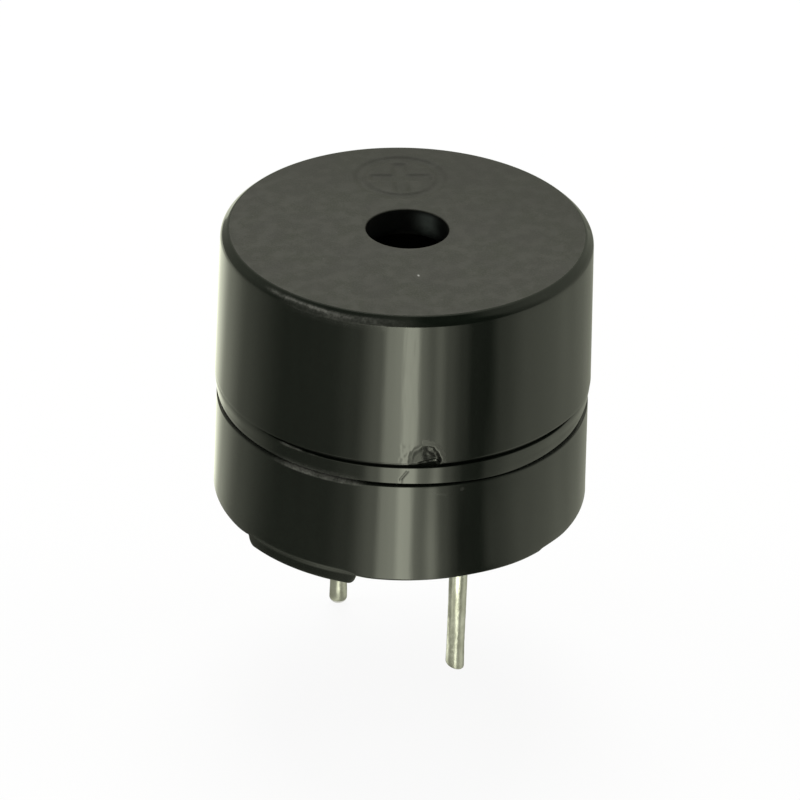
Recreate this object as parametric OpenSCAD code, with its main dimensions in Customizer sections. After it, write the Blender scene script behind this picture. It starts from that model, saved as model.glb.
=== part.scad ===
// Round two-pin magnetic buzzer for a circuit board.
// A cap with the sound hole sits over the spigot of a base that stands on two feet.
// Inside, a diaphragm lies over a coil, a ring magnet and a yoke, and a drive board is set in potting.
// The origin is on the axis in the plane of the feet, +Z points out of the sound hole,
// and the positive pin is on the +Y side.

/* [Case] */
// Diameter of the case at the lower edge of the base
case_d = 12; // [11.6:0.1:14]
// Height of the case from the feet to the top face
case_h = 9.5; // [9:0.1:12]
// Height of the joint between base and cap above the feet
joint_h = 3.75; // [3.4:0.05:4.2]
// Draft of the moulded outer walls in degrees
draft = 1.85; // [0.5:0.05:3]
// Radius on the lower edge of the base and on both edges at the joint
edge_r = 0.08; // [0.03:0.01:0.15]
// Gap between the cap's skirt and the base's spigot
joint_clearance = 0.04; // [0.02:0.01:0.08]

/* [Cap] */
// How far the cap's widest ring lies inside the lower edge of the base
cap_inset = 0.04; // [0:0.01:0.1]
// Height of the mould's parting line above the joint
band_h = 0.75; // [0.4:0.05:1.2]
// How far the two mould halves were out of line
mould_shift = 0.08; // [0:0.01:0.15]
// Radius on the edge of the top face
rim_r = 0.26; // [0.1:0.02:0.5]
// Thickness of the top wall
roof_t = 0.9; // [0.7:0.05:1.5]
// Thickness of the side wall at the parting line
cap_wall = 1; // [0.8:0.05:1.3]
// Thickness of the skirt at the joint
skirt_wall = 0.6; // [0.4:0.05:0.65]
// Diameter of the sound hole
sound_hole_d = 2.6; // [1.5:0.1:3.6]
// Turn of the cap on the base in degrees
cap_turn = -26; // [-180:1:180]

/* [Polarity mark] */
// Distance of the mark's ring from the rounded rim of the top face
mark_margin = 0.65; // [0.3:0.05:0.8]
// Outer diameter of the mark's ring
mark_d = 2.56; // [2.2:0.02:2.8]
// Width of the ring's groove
mark_line = 0.18; // [0.1:0.02:0.2]
// Length of the plus sign from tip to tip
plus_len = 1.8; // [1.2:0.05:1.8]
// Width of the plus sign's arms
plus_w = 0.43; // [0.2:0.01:0.6]
// Depth of the mark in the top face
mark_depth = 0.08; // [0.03:0.01:0.2]

/* [Gate scar] */
// Angle from the mark to the gate scar in degrees
gate_angle = 183; // [90:1:270]
// Diameter of the scar's dished recess
gate_d = 1.06; // [0.6:0.02:1.4]
// Depth of the recess
gate_depth = 0.12; // [0.05:0.01:0.2]
// Height of the recess's centre above the parting line
gate_rise = 0.16; // [0:0.02:0.4]
// Diameter of the broken stub in the recess
stub_d = 0.44; // [0.2:0.02:0.5]
// Height of the stub above the recess's floor
stub_h = 0.09; // [0.02:0.01:0.1]

/* [Base] */
// Thickness of the wall round the board
base_wall = 1; // [0.8:0.05:1.1]
// Width of the shoulder that the yoke seats against
shoulder_w = 0.5; // [0.3:0.05:0.8]
// Thickness of the rim round the diaphragm
rim_wall = 0.4; // [0.25:0.05:0.5]
// Room above the diaphragm's edge, and above the spigot's rim
rim_clearance = 0.05; // [0.02:0.01:0.15]
// Height of the feet
foot_h = 0.35; // [0.2:0.05:0.6]
// Length of a foot along the case's edge where it leaves the base
foot_len = 3.8; // [2:0.1:5]
// Slope at each end of a foot, measured along the edge
foot_slope = 0.3; // [0:0.05:0.6]
// Thickness of a foot across the wall
foot_t = 0.7; // [0.4:0.05:0.75]
// How far a foot stands back from the case's lower edge
foot_inset = 0.09; // [0.08:0.01:0.2]
// Angle of the first foot from the +X axis in degrees
foot_angle = 27; // [0:1:60]

/* [Pins] */
// Diameter of a pin over its coat of tin
pin_d = 0.6; // [0.5:0.05:0.8]
// Thickness of the tin on the free length of a pin
tin_t = 0.02; // [0.01:0.01:0.04]
// Distance of the tin's end from the lower edge of the base
tin_clearance = 0.15; // [0.12:0.01:0.3]
// Distance of a pin's axis from the wall round the board
pin_margin = 1.2; // [0.9:0.05:1.6]
// Length of the positive pin below the feet
long_pin = 6.6; // [3:0.1:12]
// Length of the negative pin below the feet
short_pin = 4.7; // [3:0.1:12]
// Radius round the end of a pin
pin_tip_r = 0.2; // [0.05:0.01:0.25]
// Length of pin that stands above the board
pin_head = 0.25; // [0:0.05:0.5]

/* [Sounder] */
// Radial gap round each loose piece in the base
part_gap = 0.05; // [0.02:0.01:0.1]
// Thickness of the diaphragm
diaphragm_t = 0.1; // [0.05:0.01:0.2]
// Gap between the pole core and the diaphragm
air_gap = 0.25; // [0.1:0.05:0.4]
// Diameter of the diaphragm's weight
weight_d = 3.4; // [2:0.1:6]
// Thickness of the weight
weight_t = 0.4; // [0.2:0.05:0.8]
// Height of the ring magnet
magnet_h = 1.8; // [1.2:0.1:2]
// Thickness of the magnet from bore to outside
magnet_wall = 1.2; // [0.8:0.1:1.5]
// Gap between coil and magnet
coil_gap = 0.35; // [0.2:0.05:0.6]
// Height of the coil
coil_h = 1.7; // [1.2:0.1:2]
// Diameter of the coil's wire ends
lead_d = 0.1; // [0.06:0.01:0.16]
// Diameter of the pole core
pole_d = 2; // [1.4:0.1:2.6]
// Height of the pole core above the yoke
pole_h = 2.05; // [2.05:0.05:2.4]
// Step from the pole core down to its rivet
rivet_step = 0.3; // [0.1:0.05:0.4]
// Thickness of the yoke plate
yoke_t = 0.6; // [0.5:0.05:0.9]
// Clear space round a pin's head in the yoke's notch
notch_clearance = 0.5; // [0.3:0.05:0.7]

/* [Drive board] */
// Height of the room for the drive parts under the board
drive_room = 1.15; // [1.1:0.05:1.6]
// Thickness of the board
board_t = 0.6; // [0.4:0.05:1]
// Gap round a pin or wire end in its hole
hole_clearance = 0.05; // [0.02:0.01:0.1]
// Distance of the transistor and of the resistor from the axis
drive_offset = 1.9; // [1.7:0.05:2]
// Length of the transistor's moulding
transistor_len = 2.9; // [2.5:0.1:3.2]
// Width of the transistor's moulding
transistor_w = 1.3; // [1:0.1:1.5]
// Thickness of the transistor's moulding
transistor_t = 0.9; // [0.6:0.05:0.95]
// Taper of the moulding's walls on each side
transistor_taper = 0.08; // [0:0.02:0.15]
// Gap between the moulding and the board
transistor_gap = 0.05; // [0.02:0.01:0.1]
// Reach of a transistor lead from the moulding's side
lead_reach = 0.55; // [0.4:0.05:0.65]
// Width of a transistor lead
lead_w = 0.42; // [0.3:0.02:0.5]
// Thickness of a transistor lead
lead_t = 0.1; // [0.08:0.01:0.15]
// Distance between neighbouring leads on the two-lead side
lead_pitch = 1.9; // [1.4:0.1:2]
// Length of the chip resistor
resistor_len = 1.6; // [1:0.1:2]
// Width of the chip resistor
resistor_w = 0.8; // [0.5:0.05:1.2]
// Thickness of the chip resistor's body
resistor_t = 0.4; // [0.3:0.05:0.6]
// Length of each end cap of the resistor
end_cap_len = 0.3; // [0.2:0.05:0.4]
// Thickness of each end cap's plating
end_cap_t = 0.03; // [0.02:0.01:0.05]
// Spread of the solder round a pin
solder_w = 0.45; // [0.2:0.05:0.5]
// Height of the solder at a pin
solder_h = 0.4; // [0.2:0.05:0.6]
// Diameter of the solder dot at a wire end
dot_d = 0.5; // [0.3:0.05:0.6]
// Height of that dot
dot_h = 0.15; // [0.1:0.05:0.3]
// How far the potting stays inside the base's lower edge
potting_recess = 0.12; // [0.05:0.01:0.15]

/* [Hidden] */

$fn = 96;
// Steps in a rounded edge of a profile
arc_steps = 6;
// Overrun of a cut past the face it opens, and of a foot into the wall it stands on
cut = 0.1;

// Levels of the stack, from the feet upwards
board_z = foot_h + drive_room;
yoke_z = board_z + board_t;
shoulder_z = yoke_z + yoke_t;
pole_top_z = shoulder_z + pole_h;
ledge_z = pole_top_z + air_gap;
diaphragm_top_z = ledge_z + diaphragm_t;
spigot_top_z = diaphragm_top_z + rim_clearance;
socket_top_z = spigot_top_z + rim_clearance;
parting_z = joint_h + band_h;
roof_z = case_h - roof_t;
potting_z = foot_h + potting_recess;
pin_top_z = yoke_z + pin_head;
tin_z = foot_h - tin_clearance;

// Radii of the case, from the outside inwards
case_r = case_d / 2;
base_top_r = case_r - (joint_h - foot_h) * tan(draft);
cap_r = case_r - cap_inset;
rim_x = cap_r - (case_h - rim_r - parting_z) * tan(draft) - rim_r / cos(draft);
band_r = cap_r - band_h * tan(draft);
socket_r = band_r - skirt_wall;
chamber_r = cap_r - cap_wall;
spigot_r = socket_r - joint_clearance;
seat_r = spigot_r - rim_wall;
bore_r = case_r - base_wall;
pocket_r = bore_r - shoulder_w;

// Radii of the pieces in the base
diaphragm_r = seat_r - part_gap;
plate_r = bore_r - part_gap;
magnet_r = pocket_r - part_gap;
magnet_in_r = magnet_r - magnet_wall;
coil_r = magnet_in_r - coil_gap;
pole_r = pole_d / 2;
pin_r = pin_d / 2;
wire_r = pin_r - tin_t;
lead_r = lead_d / 2;

// Places that follow from the radii
pin_pitch = 2 * (bore_r - pin_margin);
mark_offset = rim_x - mark_margin - mark_d / 2;

// Places of the coil's wire ends, in degrees from the +X axis
lead_angles = [120, 240, 300];

// Points of a rounded corner about centre c, from angle from_a to angle to_a
function arc(c, r, from_a, to_a) =
    [for (i = [0 : arc_steps]) let (a = from_a + (to_a - from_a) * i / arc_steps) c + r * [cos(a), sin(a)]];

// A turned solid with flat ends
module disc(r, z0, z1) {
    translate([0, 0, z0])
        cylinder(r = r, h = z1 - z0);
}

// Repeats its children at each wire end, on the coil's outer face
module at_leads() {
    for (a = lead_angles)
        rotate([0, 0, a])
            translate([coil_r, 0, 0])
                children();
}

// Repeats its children on the axis of each pin
module at_pins() {
    for (side = [-1, 1])
        translate([0, side * pin_pitch / 2, 0])
            children();
}

// The cap above its parting line, as a solid
module cap_crown() {
    rotate_extrude()
        polygon(concat(
            [[0, parting_z], [cap_r, parting_z]],
            arc([rim_x, case_h - rim_r], rim_r, draft, 90),
            [[0, case_h]]));
}

// The band below the parting line, out of line with the crown by the mould's shift
module cap_band() {
    translate([0, mould_shift, 0])
        rotate_extrude()
            polygon(concat(
                [[0, joint_h]],
                arc([band_r - edge_r, joint_h + edge_r], edge_r, -90, 0),
                [[cap_r, parting_z], [0, parting_z]]));
}

// A plus in a ring, sunk into the top face
module polarity_mark() {
    translate([0, mark_offset, case_h - mark_depth]) {
        difference() {
            cylinder(d = mark_d, h = mark_depth + cut);
            translate([0, 0, -cut])
                cylinder(d = mark_d - 2 * mark_line, h = mark_depth + 3 * cut);
        }
        for (turn = [0, 90])
            rotate([0, 0, turn])
                translate([-plus_len / 2, -plus_w / 2, 0])
                    cube([plus_len, plus_w, mark_depth + cut]);
    }
}

// The recess left by the gate, with the broken stub standing in it, above the parting line only
module gate_scar() {
    floor_r = cap_r - gate_depth;
    rotate([0, 0, gate_angle])
        intersection() {
            translate([0, floor_r, parting_z + gate_rise])
                rotate([-90, 0, 0])
                    difference() {
                        cylinder(d = gate_d, h = gate_depth + cut);
                        translate([0, 0, -cut])
                            cylinder(d = stub_d, h = stub_h + cut);
                    }
            translate([-gate_d, 0, parting_z])
                cube([2 * gate_d, case_d, gate_d]);
        }
}

module upper_case() {
    color([0.09, 0.095, 0.08])
        rotate([0, 0, cap_turn])
            difference() {
                union() {
                    cap_crown();
                    cap_band();
                }
                disc(socket_r, joint_h - cut, socket_top_z);
                disc(chamber_r, joint_h, roof_z);
                disc(sound_hole_d / 2, roof_z - cut, case_h + cut);
                polarity_mark();
                gate_scar();
            }
}

// One foot: a stretch of ring with sloped ends and a rounded outer lower edge
module foot() {
    outer = case_r - foot_inset;
    top = foot_h + cut;
    intersection() {
        rotate_extrude()
            polygon(concat(
                [[outer - foot_t, 0]],
                arc([outer - edge_r, edge_r], edge_r, -90, 0),
                [[outer, top], [outer - foot_t, top]]));
        rotate([90, 0, 90])
            linear_extrude(case_d)
                polygon([
                    [-foot_len / 2 + foot_slope, 0],
                    [foot_len / 2 - foot_slope, 0],
                    [foot_len / 2, foot_h],
                    [foot_len / 2, top],
                    [-foot_len / 2, top],
                    [-foot_len / 2, foot_h]
                ]);
    }
}

module lower_case() {
    color([0.1, 0.105, 0.09]) {
        difference() {
            rotate_extrude()
                polygon(concat(
                    [[0, foot_h]],
                    arc([case_r - edge_r, foot_h + edge_r], edge_r, -90, 0),
                    arc([base_top_r - edge_r, joint_h - edge_r], edge_r, 0, 90),
                    [[spigot_r, joint_h], [spigot_r, spigot_top_z - edge_r]],
                    [[spigot_r - edge_r, spigot_top_z], [0, spigot_top_z]]));
            disc(bore_r, foot_h - cut, shoulder_z);
            disc(pocket_r, foot_h, spigot_top_z + cut);
            disc(seat_r, ledge_z, spigot_top_z + cut);
        }
        for (side = [0, 180])
            rotate([0, 0, foot_angle + side])
                foot();
    }
}

module diaphragm() {
    color([0.75, 0.75, 0.72])
        disc(diaphragm_r, ledge_z, diaphragm_top_z);
}

module diaphragm_weight() {
    color([0.68, 0.68, 0.66])
        disc(weight_d / 2, diaphragm_top_z, diaphragm_top_z + weight_t);
}

module magnet() {
    color([0.2, 0.2, 0.21])
        difference() {
            disc(magnet_r, shoulder_z, shoulder_z + magnet_h);
            disc(magnet_in_r, shoulder_z - cut, shoulder_z + magnet_h + cut);
        }
}

module coil_lead() {
    disc(lead_r, board_z - dot_h, shoulder_z + coil_h / 2);
}

module coil() {
    color([0.72, 0.36, 0.16]) {
        difference() {
            disc(coil_r, shoulder_z, shoulder_z + coil_h);
            disc(pole_r + part_gap, shoulder_z - cut, shoulder_z + coil_h + cut);
        }
        at_leads()
            coil_lead();
    }
}

module pole_core() {
    color([0.6, 0.6, 0.6]) {
        disc(pole_r - rivet_step, yoke_z, shoulder_z);
        disc(pole_r, shoulder_z, pole_top_z);
    }
}

module yoke_plate() {
    notch_r = wire_r + notch_clearance;
    color([0.55, 0.55, 0.56])
        difference() {
            disc(plate_r, yoke_z, shoulder_z);
            disc(pole_r - rivet_step, yoke_z - cut, shoulder_z + cut);
            at_pins()
                disc(notch_r, yoke_z - cut, shoulder_z + cut);
            for (side = [0, 180])
                rotate([0, 0, side])
                    translate([-notch_r, pin_pitch / 2, yoke_z - cut])
                        cube([2 * notch_r, case_r, yoke_t + 2 * cut]);
            at_leads()
                disc(lead_r + hole_clearance, yoke_z - cut, shoulder_z + cut);
        }
}

module circuit_board() {
    color([0.16, 0.36, 0.18])
        difference() {
            disc(plate_r, board_z, yoke_z);
            at_pins()
                disc(wire_r + hole_clearance, board_z - cut, yoke_z + cut);
            at_leads()
                disc(lead_r + hole_clearance, board_z - cut, yoke_z + cut);
        }
}

// Side view of a block with sloped sides: x across, y downwards from the board
module tapered_side(width, taper) {
    polygon([
        [-width / 2 + taper, 0],
        [width / 2 - taper, 0],
        [width / 2, transistor_t / 2],
        [width / 2 - taper, transistor_t],
        [-width / 2 + taper, transistor_t],
        [-width / 2, transistor_t / 2]
    ]);
}

// A lead that leaves the moulding at half its height and stands flat against the board
module gull_lead() {
    mid = transistor_gap + transistor_t / 2;
    root = transistor_w / 2 - transistor_taper;
    knee = transistor_w / 2 + lead_t;
    tip = transistor_w / 2 + lead_reach;
    translate([0, lead_w / 2, 0])
        rotate([90, 0, 0])
            linear_extrude(lead_w)
                polygon([
                    [root, mid - lead_t / 2],
                    [knee, mid - lead_t / 2],
                    [knee, 0],
                    [tip, 0],
                    [tip, lead_t],
                    [knee + lead_t, lead_t],
                    [knee + lead_t, mid + lead_t / 2],
                    [root, mid + lead_t / 2]
                ]);
}

// The transistor as it lies on its board, feet up, measured downwards from the board
module transistor_shape() {
    translate([0, 0, transistor_gap])
        intersection() {
            translate([0, transistor_len / 2, 0])
                rotate([90, 0, 0])
                    linear_extrude(transistor_len)
                        tapered_side(transistor_w, transistor_taper);
            translate([-transistor_w / 2, 0, 0])
                rotate([90, 0, 90])
                    linear_extrude(transistor_w)
                        tapered_side(transistor_len, transistor_taper);
        }
    gull_lead();
    for (side = [-1, 1])
        translate([0, side * lead_pitch / 2, 0])
            rotate([0, 0, 180])
                gull_lead();
}

module transistor() {
    color([0.13, 0.13, 0.13])
        translate([drive_offset, 0, board_z])
            mirror([0, 0, 1])
                transistor_shape();
}

module resistor() {
    cap_w = resistor_w + 2 * end_cap_t;
    color([0.25, 0.25, 0.28])
        translate([-drive_offset, 0, board_z - resistor_t - 2 * end_cap_t]) {
            translate([-resistor_w / 2, -resistor_len / 2 + end_cap_t, end_cap_t])
                cube([resistor_w, resistor_len - 2 * end_cap_t, resistor_t]);
            for (side = [0, 180])
                rotate([0, 0, side])
                    translate([-cap_w / 2, resistor_len / 2 - end_cap_len, 0])
                        cube([cap_w, end_cap_len, resistor_t + 2 * end_cap_t]);
        }
}

// A cone of solder that hangs from the board round a wire
module solder_cone(foot_r, wire_r, h) {
    translate([0, 0, board_z - h])
        difference() {
            cylinder(r1 = (foot_r + wire_r) / 2, r2 = foot_r, h = h);
            translate([0, 0, -cut])
                cylinder(r = wire_r, h = h + 2 * cut);
        }
}

module solder_joints() {
    color([0.78, 0.78, 0.76]) {
        at_pins()
            solder_cone(wire_r + solder_w, wire_r, solder_h);
        at_leads()
            solder_cone(dot_d / 2, lead_r, dot_h);
    }
}

// A round wire pin from its rounded, tinned end below the feet to its bare head above the board
module pin(length) {
    rotate_extrude()
        polygon(concat(
            [[0, -length]],
            arc([pin_r - pin_tip_r, pin_tip_r - length], pin_tip_r, -90, 0),
            [[pin_r, tin_z], [wire_r, tin_z], [wire_r, pin_top_z], [0, pin_top_z]]));
}

module positive_pin() {
    color([0.72, 0.72, 0.7])
        translate([0, pin_pitch / 2, 0])
            pin(long_pin);
}

module negative_pin() {
    color([0.72, 0.72, 0.7])
        translate([0, -pin_pitch / 2, 0])
            pin(short_pin);
}

module potting() {
    color([0.07, 0.07, 0.07])
        difference() {
            disc(bore_r, potting_z, board_z);
            at_pins()
                disc(wire_r, potting_z - cut, board_z + cut);
            at_leads()
                coil_lead();
            transistor();
            resistor();
            solder_joints();
        }
}

upper_case();
lower_case();
diaphragm();
diaphragm_weight();
magnet();
coil();
pole_core();
yoke_plate();
circuit_board();
transistor();
resistor();
solder_joints();
positive_pin();
negative_pin();
potting();
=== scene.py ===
"""Looks of a round two-pin magnetic buzzer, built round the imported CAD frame.

Lengths are in millimetres and angles in degrees. Heights are counted from the circuit board that the
feet stand on. phi is the angle round the axis from the side that faces the camera, with the camera's
right positive.
"""

import math

import bpy
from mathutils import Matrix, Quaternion, Vector, noise


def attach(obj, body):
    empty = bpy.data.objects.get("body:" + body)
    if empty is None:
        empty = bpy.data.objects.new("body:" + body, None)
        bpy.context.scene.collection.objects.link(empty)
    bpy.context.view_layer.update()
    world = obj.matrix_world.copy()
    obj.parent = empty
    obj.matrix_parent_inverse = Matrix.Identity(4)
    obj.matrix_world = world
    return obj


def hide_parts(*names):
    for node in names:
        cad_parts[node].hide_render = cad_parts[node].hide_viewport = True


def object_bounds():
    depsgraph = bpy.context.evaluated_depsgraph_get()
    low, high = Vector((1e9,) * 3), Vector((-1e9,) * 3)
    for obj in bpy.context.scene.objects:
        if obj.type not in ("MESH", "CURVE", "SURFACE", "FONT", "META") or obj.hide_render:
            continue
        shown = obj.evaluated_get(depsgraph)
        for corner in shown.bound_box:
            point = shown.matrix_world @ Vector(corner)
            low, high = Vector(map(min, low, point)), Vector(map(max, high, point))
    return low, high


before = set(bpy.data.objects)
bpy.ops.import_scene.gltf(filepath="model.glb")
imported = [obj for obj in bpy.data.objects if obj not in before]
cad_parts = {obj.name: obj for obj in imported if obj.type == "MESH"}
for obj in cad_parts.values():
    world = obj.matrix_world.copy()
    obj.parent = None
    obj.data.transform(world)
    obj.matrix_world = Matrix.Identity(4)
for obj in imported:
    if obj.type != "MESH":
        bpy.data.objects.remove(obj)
cad_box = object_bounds()

MM = 0.001

# The camera's place, aim and lens
CAMERA_AZIMUTH = -31.0
CAMERA_ELEVATION = 30.55
CAMERA_DISTANCE = 119.2
CAMERA_ROLL = 1.77
AIM_RIGHT = -0.064
AIM_UP = 3.305
LENS = 168.2
SENSOR = 36.0
# World angle of the side that faces the camera
FRONT = CAMERA_AZIMUTH - 90.0

# Top of the case, and the floor at the tip of the longer pin, from the frame
TOP = round(cad_box[1][2] / MM, 3)
FLOOR_Z = round(cad_box[0][2] / MM, 3)

# Heights and radii of the case, as in the CAD solids or a few microns inside them
PARTING = 4.5
JOINT = 3.75
FOOT_H = 0.35
CAP_R = 5.96
BAND_R = 5.936
CASE_R = 5.994
HOLE_R = 1.3
BORE_R = 5.0

# Walls and seats inside the case
ROOF = TOP - 0.9
CHAMBER_R = CAP_R - 1.0
SOCKET_R = BAND_R - 0.6
SPIGOT_R = SOCKET_R - 0.04
SEAT_R = SPIGOT_R - 0.4
POCKET_R = BORE_R - 0.5
SPIGOT_TOP = 5.15
SOCKET_TOP = SPIGOT_TOP + 0.05
SEAT_Z = 5.0
SHOULDER_Z = 2.7

# Slopes of the walls: an angle for the cap, and the base's narrowing per millimetre of height
CAP_DRAFT = 1.85
DRAFT = math.tan(math.radians(CAP_DRAFT))
BASE_DRAFT = 0.0245
BASE_TOP_R = CASE_R - (JOINT - FOOT_H) * BASE_DRAFT

# How far the moulded walls wave, and the radius at which they read the noise
WAVE = 0.0025
GRAIN_R = 6.0

# The rim: a straight flank between a small rounding above and a wide one into the wall
RIM_START_R = 5.533
RIM_ROUND = 0.12
RIM_TILT = 48.0
RIM_FLANK = 0.152
RIM_FOOT = 0.25
RIM_MID_R = 5.7

# The polarity mark: place, ring and arms with half widths of their strokes, outer limit, depth, softness
MARK_ANGLE = 63.4
MARK_AT = 3.465
MARK_RING_R = 1.29
MARK_RING_HALF = 0.16
MARK_ARM = 0.97
MARK_ARM_HALF = 0.21
MARK_REACH = 1.75
MARK_DEPTH = 0.06
MARK_SOFT = 0.05
MARK_BLUR = 0.035

# A speck of dust on the top face
SPECK_X = -1.235
SPECK_Y = -2.795

# The gate: its angle, the chip's middle left of it and above the parting line, half the chip's size
GATE_ANGLE = FRONT + 8.0
GATE_LEFT = 0.13
GATE_RISE = 0.1
GATE_WIDE = 0.55
GATE_HIGH = 0.62

# The band between parting line and joint is shifted towards the mark, with the mould's lower half
MOULD_SHIFT = 0.08
BAND_TOP = 4.35
BAND_LOW = 3.93

# The open seam between cap and base: half its height, the rounding of its edges and its depth
SEAM_HALF = 0.03
SEAM_EDGE = 0.03
SEAM_DEPTH = 0.2

# The feet: angles, half length without the rounded ends, and radii
FEET = (26.5, -153.5)
FOOT_HALF = 1.8
FOOT_ROUND = 0.27
FOOT_R = 5.9
FOOT_IN_R = 5.2
FOOT_OUT_R = 5.91
TOE_ROUND = 0.06

# The base's lower edge: its rounding, and the radius where it meets the feet
HEM_EDGE = 0.1
HEM_R = 5.912

# The pins: distance from the axis, lengths, radius with the tin coat and without, ends of coat and wire
PIN_AT = 3.8
PIN_LONG = -FLOOR_Z
PIN_SHORT = 4.7
PIN_R = 0.3
WIRE_R = 0.28
TIN_TOP = 0.2
WIRE_TOP = 2.345
TIP_LIFT = 0.002

# The seal's skin and its upper side
SEAL_Z = 0.47
SEAL_TOP = 1.495

# Material slots of cap and base
FACE_SLOT = 0
WALL_SLOT = 1
INNER_SLOT = 2
BORE_SLOT = 3


def clamp(x):
    """x, kept within 0 and 1."""
    return min(1.0, max(0.0, x))


def smooth(a, b, x):
    """Soft step from 0 at a to 1 at b."""
    t = clamp((x - a) / (b - a))
    return t * t * (3.0 - 2.0 * t)


def between(x, start, full, fade, end):
    """Soft window: 0 at start, 1 from full to fade, 0 again at end."""
    return smooth(start, full, x) * (1.0 - smooth(fade, end, x))


def bell(x, width):
    """1 at 0, falling off to both sides."""
    return math.exp(-((x / width) ** 2))


def direction(a):
    """Cosine and sine of an angle."""
    return math.cos(math.radians(a)), math.sin(math.radians(a))


def turn(a, b):
    """Signed angle from b to a, within half a turn."""
    return (a - b + 180.0) % 360.0 - 180.0


def steps(a, b, n):
    """n values from a up to, but without, b."""
    return [a + (b - a) * i / n for i in range(n)]


def arc(cx, cz, r, a0, a1, n):
    """n + 1 points of a rounded corner in the profile plane."""
    out = []
    for i in range(n + 1):
        c, s = direction(a0 + (a1 - a0) * i / n)
        out.append((cx + r * c, cz + r * s))
    return out


def quarter(way):
    """How far a rounded edge of radius 1 has drawn back, and what is still to go, way along it."""
    t = way * math.pi / 2.0
    return 1.0 - math.cos(t), 1.0 - math.sin(t)


def columns(coarse, fine):
    """Angles round the axis, with a closer spacing inside each (centre, half width, spacing) of fine."""
    out = []
    a = -180.0
    while a < 180.0 - 0.01:
        out.append(a)
        step = coarse
        for centre, half, close in fine:
            d = abs(turn(a, centre))
            step = min(step, close + (coarse - close) * smooth(half, half + 4.0, d))
        a += step
    return out


def grain(x, y, z, size):
    """Smooth noise from -1 to 1 with features of about that size."""
    return noise.noise(Vector((x / size, y / size, z / size)))


def wall_grain(a, height, size=1.3):
    """The same noise on the case's wall, at an angle round the axis."""
    c, s = direction(a)
    return grain(c * GRAIN_R, s * GRAIN_R, height, size)


def scratch(u, v, a, b, half):
    """1 along the line from a to b on an unrolled wall, falling to 0 at half its width."""
    dx, dy = b[0] - a[0], b[1] - a[1]
    t = clamp(((u - a[0]) * dx + (v - a[1]) * dy) / (dx * dx + dy * dy))
    return max(0.0, 1.0 - math.hypot(u - a[0] - t * dx, v - a[1] - t * dy) / half)


def put(name, data):
    """A new object in the scene with that mesh, lamp or camera."""
    obj = bpy.data.objects.new(name, data)
    bpy.context.scene.collection.objects.link(obj)
    return obj


def point_layer(mesh, name, values):
    """Gives a mesh one number for each vertex, for its material to read."""
    layer = mesh.attributes.new(name, "FLOAT", "POINT")
    layer.data.foreach_set("value", values)


def face_outwards(mesh):
    """Turns a closed mesh inside out if its faces look inwards."""
    volume = 0.0
    for f in mesh.polygons:
        p = [mesh.vertices[i].co for i in f.vertices]
        for i in range(1, len(p) - 1):
            volume += p[0].dot(p[i].cross(p[i + 1]))
    if volume < 0:
        mesh.flip_normals()


class Piece:
    """Collects the rings of a turned piece and makes a closed mesh of them."""

    def __init__(self, name, angles):
        self.name = name
        self.angles = angles
        self.rings = []
        self.ring_slots = []
        self.verts = []
        self.wear_and_glint = []
        self.faces = []
        self.face_slots = []

    def add(self, profile, zone, slot):
        """Adds a ring for each (radius, height) of the profile, with the material slot of its faces."""
        for r, z in profile:
            self.rings.append((r, z, zone))
            self.ring_slots.append(slot)

    def place(self, shape):
        """Sets out the vertices: shape(r, z, zone, angle) gives x, y, z and a wear_and_glint value: abrasion
        and dust in some places, painted highlights in others.
        """
        for r, z, zone in self.rings:
            for a in self.angles:
                x, y, h, wear_glint = shape(r, z, zone, a)
                self.verts.append((x * MM, y * MM, h * MM))
                self.wear_and_glint.append(wear_glint)

    def sides(self, closed_loop):
        """Joins each ring to the next one, and the last to the first where the profile is a loop."""
        n, m = len(self.angles), len(self.rings)
        for i in range(m if closed_loop else m - 1):
            k = (i + 1) % m
            for j in range(n):
                q = (j + 1) % n
                self.faces.append((i * n + j, i * n + q, k * n + q, k * n + j))
                self.face_slots.append(self.ring_slots[i])

    def close(self, i, flip):
        """Closes ring i with triangles round its middle."""
        n = len(self.angles)
        ring = self.verts[i * n:i * n + n]
        middle = len(self.verts)
        self.verts.append(tuple(sum(v[k] for v in ring) / n for k in range(3)))
        self.wear_and_glint.append(0.0)
        for j in range(n):
            here, there = i * n + j, i * n + (j + 1) % n
            self.faces.append((there, here, middle) if flip else (here, there, middle))
            self.face_slots.append(self.ring_slots[i])

    def build(self, shape, materials, body="root", closed_loop=True):
        """Makes the object. A profile that isn't a loop is closed at its first and last ring."""
        self.place(shape)
        self.sides(closed_loop)
        if not closed_loop:
            self.close(0, True)
            self.close(len(self.rings) - 1, False)
        mesh = bpy.data.meshes.new(self.name)
        mesh.from_pydata(self.verts, [], self.faces)
        mesh.polygons.foreach_set("material_index", self.face_slots)
        mesh.polygons.foreach_set("use_smooth", [True] * len(mesh.polygons))
        point_layer(mesh, "wear_and_glint", self.wear_and_glint)
        mesh.update()
        obj = put(self.name, mesh)
        for mat in materials:
            mesh.materials.append(mat)
        face_outwards(mesh)
        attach(obj, body)
        return obj


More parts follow.
